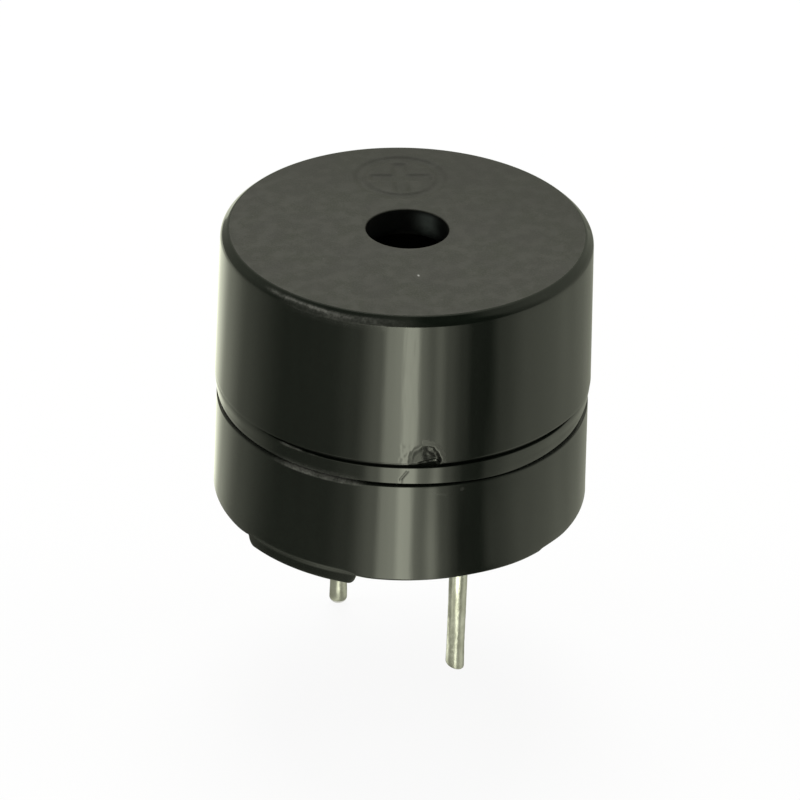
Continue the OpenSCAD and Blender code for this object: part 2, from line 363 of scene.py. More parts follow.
class Shader:
    """A principled material whose colour, roughness and relief come from noise in object space."""

    def __init__(self, name):
        self.mat = bpy.data.materials.new(name)
        self.mat.use_nodes = True
        self.nodes = self.mat.node_tree.nodes
        self.links = self.mat.node_tree.links
        self.bsdf = next(n for n in self.nodes if n.type == "BSDF_PRINCIPLED")
        self.coords = self.nodes.new("ShaderNodeTexCoord").outputs["Object"]
        self.normal = None

    def join(self, a, b):
        """Links output a to input b."""
        self.links.new(a, b)

    def stretched(self, sx, sy, sz):
        """Coordinates in which a small factor draws features out along that axis."""
        node = self.nodes.new("ShaderNodeMapping")
        node.inputs["Scale"].default_value = (sx, sy, sz)
        self.join(self.coords, node.inputs["Vector"])
        return node.outputs["Vector"]

    def along(self, angle):
        """Millimetres from the axis in a direction across the object."""
        node = self.nodes.new("ShaderNodeVectorMath")
        node.operation = "DOT_PRODUCT"
        c, s = direction(angle)
        node.inputs[1].default_value = (c / MM, s / MM, 0.0)
        self.join(self.coords, node.inputs[0])
        return node.outputs["Value"]

    def noise(self, size, detail=3.0, rough=0.55, coords=None):
        """Noise with features of about size millimetres."""
        node = self.nodes.new("ShaderNodeTexNoise")
        node.inputs["Scale"].default_value = 1.0 / (size * MM)
        node.inputs["Detail"].default_value = detail
        node.inputs["Roughness"].default_value = rough
        self.join(coords or self.coords, node.inputs["Vector"])
        return node.outputs["Fac"]

    def cells(self, size, coords=None):
        """Distance to the nearest of scattered points about size millimetres apart."""
        node = self.nodes.new("ShaderNodeTexVoronoi")
        node.inputs["Scale"].default_value = 1.0 / (size * MM)
        self.join(coords or self.coords, node.inputs["Vector"])
        return node.outputs["Distance"]

    def remap(self, value, a, b, lo, hi):
        """Soft step from lo at a to hi at b."""
        node = self.nodes.new("ShaderNodeMapRange")
        node.interpolation_type = "SMOOTHSTEP"
        for key, v in (("From Min", a), ("From Max", b), ("To Min", lo), ("To Max", hi)):
            node.inputs[key].default_value = v
        self.join(value, node.inputs["Value"])
        return node.outputs["Result"]

    def combine(self, operation, a, b):
        """Sum or product of two values, each a number or a socket."""
        node = self.nodes.new("ShaderNodeMath")
        node.operation = operation
        for i, v in enumerate((a, b)):
            if isinstance(v, (int, float)):
                node.inputs[i].default_value = v
            else:
                self.join(v, node.inputs[i])
        return node.outputs["Value"]

    def blend(self, factor, a, b):
        """Colour from a to b, each a colour or a socket."""
        node = self.nodes.new("ShaderNodeMix")
        node.data_type = "RGBA"
        self.join(factor, node.inputs["Factor"])
        for key, v in ((6, a), (7, b)):
            if isinstance(v, tuple):
                node.inputs[key].default_value = (*v, 1.0)
            else:
                self.join(v, node.inputs[key])
        return node.outputs[2]

    def wear_and_glint(self):
        """The mesh's own wear_and_glint value: abrasion and dust, and lighter colour painted as highlights on
        some edges and in the sound hole.
        """
        node = self.nodes.new("ShaderNodeAttribute")
        node.attribute_name = "wear_and_glint"
        return node.outputs["Fac"]

    def bump(self, height, strength, distance):
        """Adds relief of about distance millimetres."""
        node = self.nodes.new("ShaderNodeBump")
        node.inputs["Strength"].default_value = strength
        node.inputs["Distance"].default_value = distance * MM
        self.join(height, node.inputs["Height"])
        if self.normal is not None:
            self.join(self.normal, node.inputs["Normal"])
        self.normal = node.outputs["Normal"]
        self.join(self.normal, self.bsdf.inputs["Normal"])

    def colour(self, socket):
        """Sets the base colour."""
        self.join(socket, self.bsdf.inputs["Base Color"])

    def rough(self, socket):
        """Sets the roughness."""
        self.join(socket, self.bsdf.inputs["Roughness"])

    def fixed(self, **values):
        """Sets sockets of the shader to constants."""
        for key, v in values.items():
            self.bsdf.inputs[key.replace("_", " ")].default_value = v


def textured_face():
    """Moulded black plastic with the fine spark-eroded texture of the top face, darkened towards one side by
    painted shade.
    """
    s = Shader("textured_plastic")
    fine = s.noise(0.05, 2.0)
    broad = s.noise(1.6, 3.0)
    patchy = s.noise(0.5, 4.0)
    specks = s.remap(s.cells(0.55), 0.0, 0.06, 0.35, 0.0)
    # Painted shade: the colour darkens across the top face towards one side, as if less light fell there.
    shade = s.remap(s.along(40.0), -1.5, 5.0, 0.0, 0.5)
    base = s.blend(s.remap(broad, 0.3, 0.7, 0.0, 1.0), (0.037, 0.039, 0.0285), (0.0475, 0.0475, 0.0395))
    base = s.blend(s.remap(patchy, 0.4, 0.66, 0.0, 0.6), base, (0.064, 0.064, 0.053))
    base = s.blend(s.remap(fine, 0.35, 0.75, 0.0, 0.55), base, (0.068, 0.068, 0.058))
    # The painted shade darkens one side of the top face.
    base = s.blend(shade, base, (0.034, 0.0345, 0.0272))
    base = s.blend(specks, base, (0.14, 0.14, 0.125))
    s.colour(s.blend(s.wear_and_glint(), base, (0.4, 0.4, 0.37)))
    s.rough(s.remap(broad, 0.3, 0.7, 0.55, 0.68))
    s.fixed(Specular_IOR_Level=0.12)
    s.bump(s.noise(0.22, 2.0), 0.25, 0.012)
    s.bump(fine, 0.45, 0.012)
    return s.mat


def glossy_wall():
    """The same plastic off a polished mould wall: near black, with faint flow marks, dust and scuffs, and
    lighter, rougher colour from the wear_and_glint value, which is abrasion in places and painted highlight
    in others.
    """
    s = Shader("glossy_plastic")
    flow = s.noise(0.9, 4.0, 0.6, s.stretched(1.0, 1.0, 0.18))
    dust = s.remap(s.cells(0.62), 0.0, 0.05, 0.5, 0.0)
    grit = s.noise(0.07, 3.0)
    # Lighter, rougher colour from the wear_and_glint value: abrasion at the gate and on the rim's dull strip,
    # painted highlights on the rim's upper part, the band's upper edge and the ledge.
    wear_glint = s.combine("MULTIPLY", s.wear_and_glint(), s.remap(grit, 0.38, 0.64, 0.5, 1.0))
    base = s.blend(s.remap(flow, 0.3, 0.7, 0.0, 1.0), (0.0045, 0.0066, 0.0044), (0.0066, 0.0092, 0.0062))
    base = s.blend(dust, base, (0.018, 0.02, 0.016))
    s.colour(s.blend(wear_glint, base, (0.15, 0.151, 0.13)))
    clean = s.remap(flow, 0.3, 0.7, 0.06, 0.095)
    s.rough(s.combine("ADD", clean, s.combine("MULTIPLY", s.wear_and_glint(), 0.38)))
    s.bump(flow, 0.22, 0.008)
    s.bump(s.noise(0.16, 2.0, 0.5, s.stretched(1.0, 1.0, 0.04)), 0.1, 0.004)
    s.bump(s.combine("MULTIPLY", grit, s.wear_and_glint()), 0.3, 0.012)
    return s.mat


def inner_plastic():
    """Unpolished black plastic inside the case."""
    s = Shader("inner_plastic")
    n = s.noise(0.3, 4.0)
    s.colour(s.blend(n, (0.005, 0.0055, 0.0045), (0.011, 0.0115, 0.0095)))
    s.rough(s.remap(n, 0.3, 0.7, 0.3, 0.45))
    s.bump(s.noise(0.08), 0.3, 0.01)
    return s.mat


def bore_with_painted_glint():
    """Black plastic of the sound hole, with the wear_and_glint value as a painted glint: lighter colour on
    the hole's far wall.
    """
    s = Shader("bore_with_painted_glint")
    n = s.noise(0.4, 3.0)
    # Painted glint: the colour turns lighter where the wear_and_glint value is high.
    bore_glint = s.combine("MULTIPLY", s.wear_and_glint(), s.remap(n, 0.25, 0.7, 0.5, 1.0))
    s.colour(s.blend(bore_glint, (0.006, 0.0068, 0.0058), (0.1, 0.118, 0.105)))
    s.rough(s.remap(n, 0.3, 0.7, 0.32, 0.45))
    s.bump(s.noise(0.1), 0.25, 0.008)
    return s.mat


def tinned():
    """Dipped tin on a wire: bright, a little dull, with runs along the wire."""
    s = Shader("tinned_wire")
    runs = s.noise(0.16, 4.0, 0.6, s.stretched(1.0, 1.0, 0.22))
    patchy = s.noise(0.5, 3.0)
    s.colour(s.blend(s.remap(patchy, 0.3, 0.7, 0.0, 1.0), (0.56, 0.56, 0.5), (0.72, 0.72, 0.67)))
    s.rough(s.remap(runs, 0.3, 0.7, 0.16, 0.3))
    s.bump(runs, 0.5, 0.02)
    s.bump(s.noise(0.06), 0.3, 0.006)
    s.fixed(Metallic=1.0)
    return s.mat


def resin():
    """Poured black potting with a soft skin and a few bubbles."""
    s = Shader("potting_resin")
    n = s.noise(1.1, 3.0)
    s.colour(s.blend(n, (0.006, 0.006, 0.006), (0.012, 0.012, 0.011)))
    s.rough(s.remap(n, 0.3, 0.7, 0.18, 0.4))
    s.bump(n, 0.4, 0.05)
    s.bump(s.remap(s.cells(0.8), 0.0, 0.12, 0.0, 1.0), 0.5, 0.03)
    return s.mat


def metal(name, low, high, rough, size, stretch=(1.0, 1.0, 1.0)):
    """Plain metal with rolling or drawing marks."""
    s = Shader(name)
    n = s.noise(size, 4.0, 0.6, s.stretched(*stretch))
    s.colour(s.blend(n, low, high))
    s.rough(s.remap(n, 0.3, 0.7, rough[0], rough[1]))
    s.bump(n, 0.4, 0.01)
    s.fixed(Metallic=1.0)
    return s.mat


def dull(name, low, high, rough, size):
    """Ceramic, laminate or moulding with an even grain."""
    s = Shader(name)
    n = s.noise(size, 5.0, 0.65)
    s.colour(s.blend(s.remap(n, 0.3, 0.7, 0.0, 1.0), low, high))
    s.rough(s.remap(n, 0.3, 0.7, rough[0], rough[1]))
    s.bump(n, 0.5, 0.02)
    return s.mat


def winding():
    """Enamelled copper wire laid in turns of 0.06 mm."""
    pitch = 0.06
    s = Shader("copper_wire")
    wave = s.nodes.new("ShaderNodeTexWave")
    wave.bands_direction = "Z"
    wave.inputs["Scale"].default_value = 0.5 / (2.0 * math.pi * pitch * MM)
    wave.inputs["Distortion"].default_value = 0.6
    s.join(s.coords, wave.inputs["Vector"])
    n = s.noise(0.4)
    s.colour(s.blend(n, (0.42, 0.15, 0.05), (0.6, 0.26, 0.1)))
    s.rough(s.remap(n, 0.3, 0.7, 0.22, 0.38))
    s.bump(wave.outputs["Fac"], 0.7, 0.02)
    s.fixed(Metallic=0.9)
    return s.mat


FACE = textured_face()
WALL = glossy_wall()
INNER = inner_plastic()
TIN = tinned()


def mark_depth(x, y):
    """Depth of the sunk plus and its ring at a point of the top face, blurred a little sideways."""
    c, s = direction(MARK_ANGLE)
    v = x * c + y * s - MARK_AT
    u = -x * s + y * c
    if math.hypot(u, v) > MARK_REACH:
        return 0.0
    places = [u + MARK_BLUR * i for i in range(-2, 3)]
    total = 0.0
    for w in places:
        ring = abs(math.hypot(w, v) - MARK_RING_R) - MARK_RING_HALF
        arms = [max(abs(p) - MARK_ARM, abs(q) - MARK_ARM_HALF) for p, q in ((w, v), (v, w))]
        total += 1.0 - smooth(-MARK_SOFT, MARK_SOFT, min(ring, *arms))
    return MARK_DEPTH * total / len(places)


def gate_place(a, z):
    """Millimetres right of and above the gate, and the distance from it, which is 1 at the chip's edge."""
    u = math.radians(turn(a, GATE_ANGLE)) * CAP_R + GATE_LEFT
    v = z - (PARTING + GATE_RISE)
    ragged = 0.05 * grain(u, v, 1.0, 0.3) + 0.1 * smooth(-0.1, 0.2, u) * grain(u, v, 2.0, 0.14)
    return u, v, math.hypot(u / GATE_WIDE, v / GATE_HIGH) + ragged


def gate_dent(a, z):
    """At the gate the sprue broke out a half-round chip, flush on the left and torn on the right.

    Gives the depth of the wall there, how rough it is and how far the groove below is chipped open.
    """
    u, v, e = gate_place(a, z)
    if e > 2.4:
        return 0.0, 0.0, 0.0
    inside = 1.0 - smooth(0.5 + 0.35 * smooth(-0.15, 0.15, u), 1.04, e)
    torn = grain(u, v, 3.0, 0.16) + 0.6 * grain(u, v, 8.0, 0.08)
    rough = smooth(-0.04, 0.12, u) * (1.0 - smooth(0.7, 0.96, e))
    chafed = between(u, -0.78, -0.68, -0.42, -0.34) * (1.0 - smooth(0.25, 0.5, abs(v - 0.22)))
    dent = inside * 0.12 * max(0.0, u + GATE_WIDE) + rough * (0.026 * torn + 0.16 * max(0.0, u))
    dent += 0.004 * chafed * grain(u, v * 0.7, 5.0, 0.09)
    chip = between(u, -0.2, 0.05, 0.36, 0.55)
    wear_glint = 0.07 * inside + 0.05 * rough
    return dent, wear_glint, 0.07 * chip


def groove(phi):
    """1 where the groove at the parting line is open, at the front."""
    return between(phi, -58.0, -19.0, 48.0, 70.0)


def rubbed_edge_glint(a):
    """1 where the band's upper edge has a painted highlight, in a short broken stretch on the left of the
    front: lighter colour standing in for the glint of an abraded edge.
    """
    stretch = between(turn(a, FRONT), -39.5, -36.0, -29.0, -23.0)
    return stretch * smooth(-0.4, 0.1, wall_grain(a, 5.0, 0.4))


def ledge(phi):
    """1 where the base stands out below the cap, on the left of the front."""
    return between(phi, -9.0, -16.0, -32.0, -44.0)


def side_of(phi):
    """0 at the front and back of the seam, 1 at its sides."""
    return between(abs(phi), 25.0, 62.0, 118.0, 155.0)


def seam_height(phi):
    """The joint lies a little lower on the right of the front."""
    return JOINT - 0.1 * between(phi, 0.0, 42.0, 58.0, 84.0)


def seam_half(phi):
    """Half the height of the open seam: shut at the ledge, tight beside it, wide at the sides."""
    tight = between(phi, 20.0, 34.0, 48.0, 60.0) + between(phi, -44.0, -50.0, -58.0, -66.0)
    wide = between(abs(phi), 60.0, 76.0, 110.0, 150.0)
    return SEAM_HALF - 0.028 * ledge(phi) - 0.012 * tight + 0.04 * wide


def seam_gap(phi, way):
    """Half the seam's height along its depth: way is 1 at its mouth, 2 inside and 3 where it is shut."""
    narrow = 1.0 - 0.8 * side_of(phi) * clamp(way - 1.0)
    return seam_half(phi) * narrow * (1.0 - max(0.0, way - 2.0))


def seam_lightening(phi, way):
    """Lighter colour inside the open seam, most of it at the sides."""
    return 0.2 * smooth(0.8, 1.0, way) * (0.3 + 0.7 * side_of(phi))


def rim_profile():
    """A steep flank round the top face, with a small rounding above and a wide one into the wall."""
    out = arc(RIM_START_R, TOP - RIM_ROUND, RIM_ROUND, 90.0, RIM_TILT, 6)
    c, s = direction(RIM_TILT)
    x, z = out[-1]
    out += [(x + s * t, z - c * t) for t in steps(RIM_FLANK / 8.0, RIM_FLANK, 7)]
    x, z = x + s * RIM_FLANK, z - c * RIM_FLANK
    return out + arc(x - RIM_FOOT * c, z - RIM_FOOT * s, RIM_FOOT, RIM_TILT, CAP_DRAFT, 6)


# Rings of a rounded edge, whose second number is the way along it, and of an edge with the seam behind it
EDGE_RINGS = [(0.0, i / 5.0) for i in range(6)]
SEAM_RINGS = EDGE_RINGS + [(0.0, 1.5), (0.0, 2.0), (0.0, 3.0)]


# Zones of cap and base: each function gives radius, height and wear_and_glint of a vertex from its ring and
# angle; that value is abrasion in some places and painted highlight in others
def hole_zone(r, z, a):
    """The sound hole's wall, with a painted glint: lighter colour on the far side."""
    return r, z, bell(turn(FRONT + 180.0, a) - 29.0, 15.0)


def top_zone(r, z, a):
    """The top face, with the sunk mark and the speck of dust."""
    c, s = direction(a)
    x, y = r * c, r * s
    speck = 1.0 - smooth(0.015, 0.05, math.hypot(x - SPECK_X, y - SPECK_Y))
    return r, z - mark_depth(x, y), speck


def rim_zone(r, z, a):
    """The rim, with a stretch roughened by rubbing: a dull strip, and a painted highlight of bright dashes
    along its upper part.
    """
    c, s = direction(a)
    phi = turn(a, FRONT)
    u, v = math.radians(phi) * RIM_MID_R, TOP - z
    broken = smooth(-0.3, 0.4, grain(u, v * 3.0, 0.0, 0.45) + 0.6 * grain(u, v * 2.0, 7.0, 0.15))
    strip = between(phi, -44.0, -24.0, -14.0, 6.0) * between(v, 0.06, 0.12, 0.26, 0.34)
    # Painted highlight: a lighter line of bright dashes along the rim's upper part, standing in for its
    # glint.
    line = bell(v - 0.11 - 0.035 * smooth(-34.0, -18.0, phi), 0.035)
    line *= between(phi, -49.0, -42.0, -22.0, -12.0)
    # The dull strip is abraded plastic; the line adds painted highlight.
    wear_glint = strip * (0.27 + 0.2 * broken) + line * (0.3 + 0.35 * broken)
    return r + 0.004 * strip * grain(r * c, r * s, z, 0.16), z, wear_glint


def crown_zone(r, z, a):
    """The cap's wall, with the gate and the flow line that the melt left above it."""
    phi = turn(a, FRONT)
    dent, wear_glint, gap = gate_dent(a, z)
    z += gap * (1.0 - smooth(PARTING + 0.08, PARTING + 0.42, z))
    across = phi - 2.2 - 0.5 * grain(3.0, 5.0, z, 0.8)
    line = bell(across, 1.5) * 0.003 * grain(phi * 0.6, 1.0, z * 0.8, 0.5)
    return r - dent + line + WAVE * wall_grain(a, z * 0.25), z, wear_glint


def lip_zone(_, way, a):
    """The crown's lower edge, rounded into the groove at the parting line."""
    depth = groove(turn(a, FRONT))
    dent, wear_glint, gap = gate_dent(a, PARTING + 0.06)
    drawn, rest = quarter(way)
    z = PARTING + 0.055 * depth + gap + 0.025 * rest
    r = CAP_R - (z - PARTING) * DRAFT - (0.025 + 0.12 * depth) * drawn - dent
    return r, z, wear_glint


def step_zone(_, way, a):
    """The band's upper edge, on the other side of the groove."""
    depth = groove(turn(a, FRONT))
    drawn, rest = quarter(way)
    z = PARTING - 0.004 - 0.115 * depth - (0.015 + 0.01 * depth) * drawn
    r = CAP_R - 0.004 - (0.02 + 0.12 * depth) * rest
    # Painted highlight: lighter colour on the band's upper edge, for its glint.
    return r, z, 0.6 * rubbed_edge_glint(a) * smooth(0.5, 0.9, 1.0 - rest)


def band_zone(r, z, a):
    """The narrow band below the parting line, with a scratch and a painted highlight on its abraded upper
    edge.
    """
    phi = turn(a, FRONT)
    u = math.radians(phi) * BAND_R
    r -= 0.03 * side_of(phi) * smooth(BAND_TOP, BAND_LOW, z) + 0.02 * ledge(phi)
    r -= 0.022 * scratch(u, z, (0.24, 4.25), (0.02, 3.94), 0.036)
    # Painted highlight, carried onto the band's first rows.
    wear_glint = 0.5 * rubbed_edge_glint(a) * smooth(BAND_TOP - 0.04, BAND_TOP - 0.005, z)
    return r + WAVE * wall_grain(a, z * 0.25), z, wear_glint


def eave_zone(_, way, a):
    """The band's lower edge and the roof of the open seam."""
    phi = turn(a, FRONT)
    side = side_of(phi)
    edge = SEAM_EDGE + 0.1 * side
    drawn, rest = quarter(clamp(way))
    r = BAND_R - 0.03 * side - 0.02 * ledge(phi) - edge * drawn - (SEAM_DEPTH - edge) * clamp(way - 1.0)
    z = seam_height(phi) + seam_gap(phi, way) + 0.006 + (SEAM_EDGE + 0.05 * side) * rest
    # The ledge's painted highlight reaches onto the band's lower edge here, beside the seam's lighter colour.
    return r, z, seam_lightening(phi, way) + 0.3 * ledge(phi)


CAP_ZONES = {
    "hole": hole_zone,
    "top": top_zone,
    "rim": rim_zone,
    "wall": crown_zone,
    "lip": lip_zone,
    "step": step_zone,
    "band": band_zone,
    "eave": eave_zone,
}
SHIFTED_ZONES = ("step", "band", "eave")


def roughen_gate(mesh):
    """Shows unpolished plastic in the torn half of the gate."""
    for f in mesh.polygons:
        x, y, z = (k / MM for k in f.center)
        if f.material_index == WALL_SLOT and math.hypot(x, y) > CAP_R - 0.36 and z > PARTING + 0.04:
            u, _, e = gate_place(math.degrees(math.atan2(y, x)), z)
            if u > -0.05 and e < 1.3:
                f.material_index = INNER_SLOT


def cap():
    """The upper half of the case, with closer columns at the mark, the gate and the rim's roughened stretch.
    """
    fine = ((MARK_ANGLE, 26.0, 0.72), (GATE_ANGLE - 3.0, 9.5, 0.3), (FRONT - 25.0, 24.0, 0.65))
    p = Piece("cap", columns(1.3, fine))
    p.add([(HOLE_R, z) for z in (ROOF + 0.02, 8.85, 9.1, 9.3)], "hole", BORE_SLOT)
    p.add(arc(HOLE_R + 0.04, TOP - 0.04, 0.04, 180.0, 90.0, 5), "top", FACE_SLOT)
    mark_in, mark_out = MARK_AT - 1.525, MARK_AT + 1.515
    face = steps(1.45, mark_in, 3) + steps(mark_in, mark_out, 64) + steps(mark_out, RIM_START_R, 5)
    p.add([(r, TOP) for r in face], "top", FACE_SLOT)
    p.add(rim_profile(), "rim", WALL_SLOT)
    wall = [9.0, 8.7, 8.4] + steps(8.0, 5.4, 9) + steps(5.4, PARTING + 0.08, 24)
    p.add([(CAP_R - (z - PARTING) * DRAFT, z) for z in wall], "wall", WALL_SLOT)
    p.add(EDGE_RINGS, "lip", WALL_SLOT)
    p.add(EDGE_RINGS, "step", WALL_SLOT)
    p.add([(BAND_R + (z - JOINT) * DRAFT, z) for z in steps(BAND_TOP, BAND_LOW, 14)], "band", WALL_SLOT)
    p.add(SEAM_RINGS, "eave", WALL_SLOT)
    p.add([(5.6, JOINT + 0.004), (SOCKET_R + 0.044, JOINT + 0.004)], "inside", INNER_SLOT)
    p.add([(SOCKET_R, z) for z in (JOINT + 0.06, 4.5, SOCKET_TOP)], "inside", INNER_SLOT)
    p.add([(5.15, SOCKET_TOP)], "inside", INNER_SLOT)
    p.add([(CHAMBER_R, z) for z in (SOCKET_TOP, 5.3, 7.0, ROOF - 0.1)], "inside", INNER_SLOT)
    p.add([(r, ROOF) for r in (CHAMBER_R - 0.1, 3.6, 2.4, HOLE_R + 0.05)], "inside", INNER_SLOT)
    shift_x, shift_y = (MOULD_SHIFT * k for k in direction(MARK_ANGLE))

    def shape(r, z, zone, a):
        wear_glint = 0.0
        if zone in CAP_ZONES:
            r, z, wear_glint = CAP_ZONES[zone](r, z, a)
        c, s = direction(a)
        if zone in SHIFTED_ZONES:
            return r * c + shift_x, r * s + shift_y, z, wear_glint
        return r * c, r * s, z, wear_glint

    obj = p.build(shape, [FACE, WALL, INNER, bore_with_painted_glint()])
    roughen_gate(obj.data)
    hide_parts("upper_case")
    return obj


def foot_distance(a):
    """Millimetres along the wall to the middle of the nearer foot."""
    return min(abs(math.radians(turn(a, at))) * FOOT_R for at in FEET)


def foot_height(a):
    """How far the base reaches down at an angle: two feet, opposite each other, with rounded ends."""
    end = clamp((foot_distance(a) - FOOT_HALF) / FOOT_ROUND)
    return FOOT_H * math.sqrt(1.0 - end * end)


def lean(phi):
    """How far the base's wall stands out at the front, as if it sat a little to the left of the cap."""
    amount = 0.07 + 0.07 * smooth(-10.0, 14.0, phi)
    return -amount * math.sin(math.radians(phi)) * (1.0 - smooth(18.0, 46.0, abs(phi)))


def sag(phi):
    """How far the base's lower edge hangs down: most on the right of the front, with a nick in it."""
    nick = 0.045 * between(phi, 47.8, 50.0, 52.0, 62.0)
    return 0.03 + 0.05 * between(phi, 20.0, 42.0, 85.0, 115.0) - nick


def foot_zone(r, share, a):
    """A ring at a share of the foot's height, counted from above."""
    return r, FOOT_H - foot_height(a) * share, 0.0


def toe_zone(_, way, a):
    """The foot's lower edge."""
    h = foot_height(a)
    drawn, rest = quarter(way)
    return FOOT_OUT_R - TOE_ROUND * rest, FOOT_H - h + min(TOE_ROUND, 0.3 * h) * drawn, 0.0


def hem_zone(_, way, a):
    """The base's lower edge, rounded more widely above the feet and hanging down between them."""
    phi = turn(a, FRONT)
    edge = HEM_EDGE + 0.14 * (1.0 - smooth(1.5, 2.6, foot_distance(a)))
    t = math.acos(1.0 - (CASE_R - HEM_R) / edge) * (1.0 - way)
    r = CASE_R - edge * (1.0 - math.cos(t)) + lean(phi) * way
    z = FOOT_H + edge * (1.0 - math.sin(t)) - sag(phi) * (1.0 - foot_height(a) / FOOT_H)
    return r, z, 0.0


def base_wall_zone(r, z, a):
    """The base's wall, with a scratch and a short lighter mark."""
    phi = turn(a, FRONT)
    u = math.radians(phi) * CASE_R
    r += lean(phi) - WAVE * (1.0 + wall_grain(a, 9.0 + z * 0.25))
    z += (seam_height(phi) - JOINT) * smooth(3.1, 3.6, z)
    wear_glint = 0.14 * scratch(u, z, (0.98, 3.5), (1.46, 3.35), 0.07)
    # A short lighter mark near the seam.
    wear_glint += 0.5 * scratch(u, z, (1.97, 3.5), (2.0, 3.47), 0.06)
    return r, z, wear_glint


def shoulder_zone(_, way, a):
    """The base's upper edge and the floor of the open seam, with a painted highlight on the ledge."""
    phi = turn(a, FRONT)
    edge = SEAM_EDGE + 0.06 * ledge(phi)
    drawn, rest = quarter(clamp(way))
    r = BASE_TOP_R + lean(phi) - edge * drawn - (SEAM_DEPTH - edge) * clamp(way - 1.0)
    z = seam_height(phi) - seam_gap(phi, way) - edge * rest
    # Painted highlight: lighter, broken colour on the ledge where the base stands out below the cap, standing
    # in for the light it catches.
    ledge_glint = 0.5 + 0.4 * smooth(-0.4, 0.3, wall_grain(a, 2.0, 0.3))
    return r, z, seam_lightening(phi, way) + ledge(phi) * ledge_glint


BASE_ZONES = {
    "foot": foot_zone,
    "toe": toe_zone,
    "hem": hem_zone,
    "wall": base_wall_zone,
    "shoulder": shoulder_zone,
}


def base():
    """The lower half of the case, with closer columns at the feet, the scratches and the nick."""
    fine = [(at, 21.0, 0.42) for at in FEET] + [(FRONT + 12.0, 5.0, 0.4), (FRONT + 49.0, 5.0, 0.5)]
    p = Piece("base", columns(1.3, fine))
    p.add([(BORE_R, 0.42), (BORE_R + 0.02, 0.375)], "body", WALL_SLOT)
    p.add([(r, FOOT_H) for r in (BORE_R + 0.06, 5.14, FOOT_IN_R)], "body", WALL_SLOT)
    p.add([(FOOT_IN_R + 0.012, 0.15), (FOOT_IN_R + 0.022, 0.85)], "foot", WALL_SLOT)
    p.add([(r, 1.0) for r in (FOOT_IN_R + 0.06, 5.4, 5.55, 5.7, 5.82)], "foot", WALL_SLOT)
    p.add(EDGE_RINGS, "toe", WALL_SLOT)
    p.add([(FOOT_OUT_R + 0.001, 0.5), (HEM_R, 0.12)], "foot", WALL_SLOT)
    p.add([(0.0, i / 10.0) for i in range(11)], "hem", WALL_SLOT)
    wall = steps(0.7, 3.1, 12) + steps(3.1, JOINT - 0.22, 10) + [JOINT - 0.18, JOINT - 0.14]
    p.add([(CASE_R - (z - FOOT_H) * BASE_DRAFT, z) for z in wall], "wall", WALL_SLOT)
    p.add(SEAM_RINGS, "shoulder", WALL_SLOT)
    p.add([(5.6, JOINT), (SPIGOT_R + 0.044, JOINT)], "body", INNER_SLOT)
    p.add([(SPIGOT_R, z) for z in (JOINT + 0.04, 4.4, SPIGOT_TOP - 0.08)], "body", INNER_SLOT)
    p.add([(r, SPIGOT_TOP) for r in (SPIGOT_R - 0.08, 5.05, SEAT_R + 0.034)], "body", INNER_SLOT)
    p.add([(SEAT_R, SPIGOT_TOP - 0.03), (SEAT_R, SEAT_Z)], "body", INNER_SLOT)
    p.add([(4.7, SEAT_Z), (POCKET_R + 0.03, SEAT_Z)], "body", INNER_SLOT)
    p.add([(POCKET_R, z) for z in (SEAT_Z - 0.03, 3.8, SHOULDER_Z)], "body", INNER_SLOT)
    p.add([(4.75, SHOULDER_Z)], "body", INNER_SLOT)
    p.add([(BORE_R, z) for z in (SHOULDER_Z, 2.0, 1.2, 0.7)], "body", INNER_SLOT)

    def shape(r, z, zone, a):
        wear_glint = 0.0
        if zone in BASE_ZONES:
            r, z, wear_glint = BASE_ZONES[zone](r, z, a)
        c, s = direction(a)
        return r * c, r * s, z, wear_glint

    obj = p.build(shape, [FACE, WALL, INNER])
    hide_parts("lower_case")
    return obj


def pin(name, node, side, length, rounding, slant, seed):
    """A tinned wire with a rounded or slanted end and the low ridges and beads that dipping leaves."""
    p = Piece(name, steps(-180.0, 180.0, 40))
    flat = PIN_R - rounding
    end = TIP_LIFT - length
    p.add([(0.35 * flat, end), (0.7 * flat, end)], "tip", 0)
    p.add(arc(flat, end + rounding, rounding, -90.0, 0.0, 8), "tip", 0)
    free = steps(0.07 + rounding - length, TIN_TOP, int(length / 0.06))
    p.add([(PIN_R, z) for z in free], "free", 0)
    p.add([(PIN_R - 0.008, TIN_TOP)], "bare", 0)
    p.add([(WIRE_R, z) for z in (TIN_TOP + 0.015, 0.6, 1.5, WIRE_TOP - 0.045)], "bare", 0)
    p.add([(WIRE_R - 0.03, WIRE_TOP)], "bare", 0)

    def shape(r, z, zone, a):
        c, s = direction(a)
        if zone == "free":
            low = smooth(0.2, 0.9, z + length) * smooth(0.2, -0.4, z)
            run = 0.5 + 0.5 * grain(c * PIN_R, s * PIN_R + seed, z * 0.22, 0.14)
            bead = 0.5 + 0.5 * grain(c * PIN_R + seed, s * PIN_R, z * 0.7, 0.13)
            r -= 0.012 * low * run + 0.014 * low * bead * smooth(-1.5, -3.0, z)
        # A slanted end is lower on the camera's right
        right = r * math.cos(math.radians(a - CAMERA_AZIMUTH))
        z += slant * (PIN_R - right) * (1.0 - smooth(0.1, 1.2, z + length))
        return r * c, side * PIN_AT + r * s, z, 0.0

    obj = p.build(shape, [TIN], closed_loop=False)
    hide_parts(node)
    return obj


